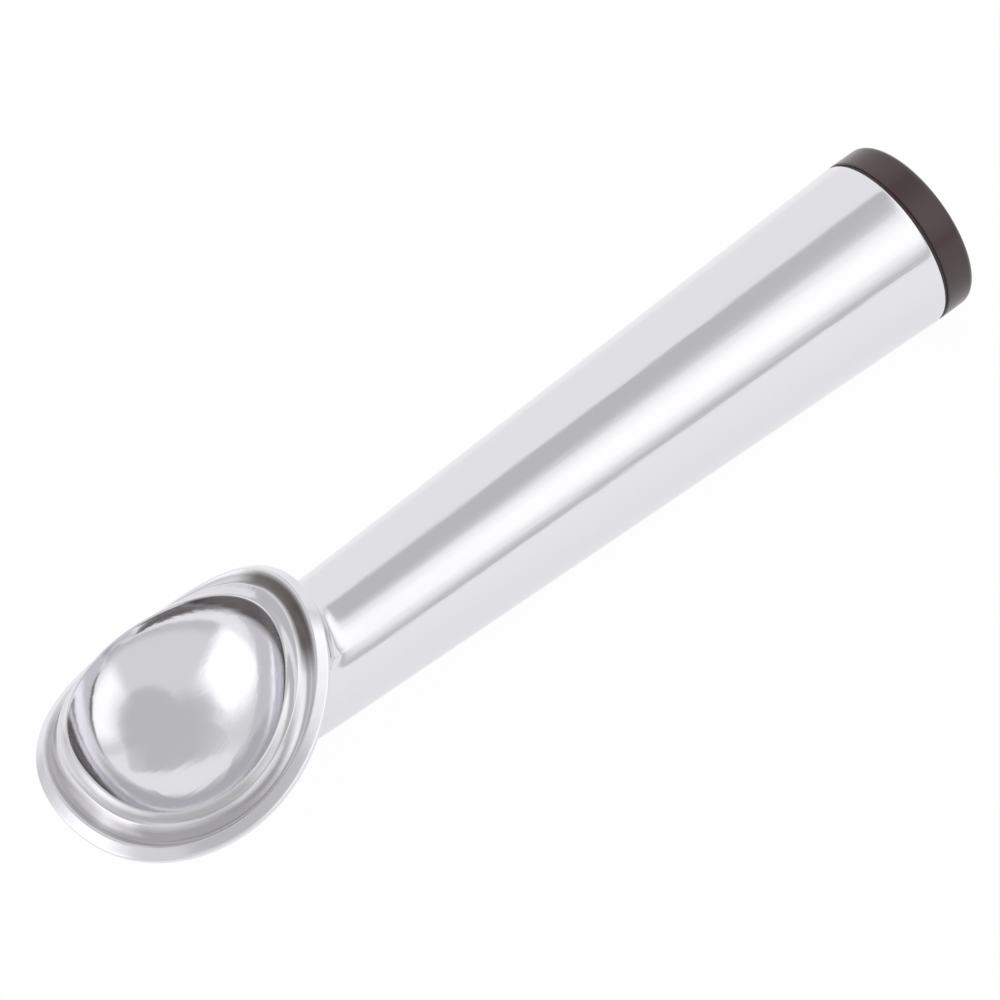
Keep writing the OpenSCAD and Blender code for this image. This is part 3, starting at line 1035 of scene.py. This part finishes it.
def make_card():
    """A grey card with soft edges that only the polished metal mirrors."""
    columns = len(CARD_BEHIND) - 1
    rows = len(CARD_ROWS) - 1
    bpy.ops.object.select_all(action="DESELECT")
    bpy.ops.mesh.primitive_grid_add(x_subdivisions=columns, y_subdivisions=rows, size=2)
    card = bpy.context.active_object
    card.name = "grey_card"
    solid = card.data.attributes.new("solid", "FLOAT", "POINT")
    for point in card.data.vertices:
        column = round((point.co.x + 1) / 2 * columns)
        forward, row_solid = CARD_ROWS[round((point.co.y + 1) / 2 * rows)]
        point.co = Vector(CARD_BEHIND[column]).lerp(Vector(CARD_FRONT[column]), forward) * MM
        solid.data[point.index].value = row_solid * CARD_SOLID[column]
    grey, nodes, links, shader = new_finish("grey_card")
    nodes.remove(shader)
    glow = nodes.new("ShaderNodeEmission")
    glow.inputs["Color"].default_value = WHITE
    glow.inputs["Strength"].default_value = OVERHEAD_LIGHT
    clear = nodes.new("ShaderNodeBsdfTransparent")
    share = nodes.new("ShaderNodeAttribute")
    share.attribute_name = "solid"
    blend = nodes.new("ShaderNodeMixShader")
    links.new(share.outputs["Fac"], blend.inputs["Fac"])
    links.new(clear.outputs["BSDF"], blend.inputs[1])
    links.new(glow.outputs["Emission"], blend.inputs[2])
    links.new(blend.outputs["Shader"], nodes["Material Output"].inputs["Surface"])
    dress(card, grey)
    card.visible_camera = False
    card.visible_diffuse = False
    card.visible_transmission = False
    card.visible_shadow = False


def add_degree_step(nodes, links, angle, ends):
    """A soft step of an angle between two ends in degrees."""
    return add_step(nodes, links, angle, math.radians(ends[0]), math.radians(ends[1]))


def add_soft_box(nodes, links, turn, height, sides, lower, upper):
    """How much of a soft box shows in a direction."""
    share = 1.0
    for angle, ends in ((turn, sides[0]), (turn, sides[1]), (height, lower), (height, upper)):
        step = add_degree_step(nodes, links, angle, ends)
        share = add_math(nodes, links, "MULTIPLY", step, share)
    return share


def make_world():
    world = bpy.data.worlds.new("studio")
    bpy.context.scene.world = world
    world.use_nodes = True
    nodes = world.node_tree.nodes
    links = world.node_tree.links
    sky = nodes["Background"]
    look = nodes.new("ShaderNodeTexCoord")
    way = nodes.new("ShaderNodeSeparateXYZ")
    links.new(look.outputs["Generated"], way.inputs["Vector"])
    front = add_math(nodes, links, "MULTIPLY", way.outputs["Y"], -1.0)
    turn = add_math(nodes, links, "ARCTAN2", way.outputs["X"], front)
    height = add_math(nodes, links, "ARCSINE", way.outputs["Z"])
    front_share = add_degree_step(nodes, links, height, HORIZON_TOP)
    light = add_level(nodes, links, front_share, HORIZON_LIGHT, FRONT_LIGHT)
    overhead_share = add_degree_step(nodes, links, height, FRONT_TOP)
    light = add_level(nodes, links, overhead_share, light, OVERHEAD_LIGHT)
    behind = add_step(nodes, links, way.outputs["Y"], *SWEEP_EDGE)
    side = add_step(nodes, links, way.outputs["X"], *SWEEP_SIDE)
    sweep_share = add_math(nodes, links, "MULTIPLY", behind, side)
    light = add_level(nodes, links, sweep_share, light, SWEEP_LIGHT)
    for box, box_light in ((RIGHT_BOX, RIGHT_LIGHT), (LEFT_BOX, LEFT_LIGHT)):
        share = add_soft_box(nodes, links, turn, height, *box)
        light = add_level(nodes, links, share, light, box_light)
    path = nodes.new("ShaderNodeLightPath")
    light = add_level(nodes, links, path.outputs["Is Camera Ray"], light, 1.0)
    links.new(light, sky.inputs["Strength"])
    sky.inputs["Color"].default_value = WHITE


make_floor()
make_card()
make_world()

bpy.context.scene.view_settings.view_transform = "Standard"
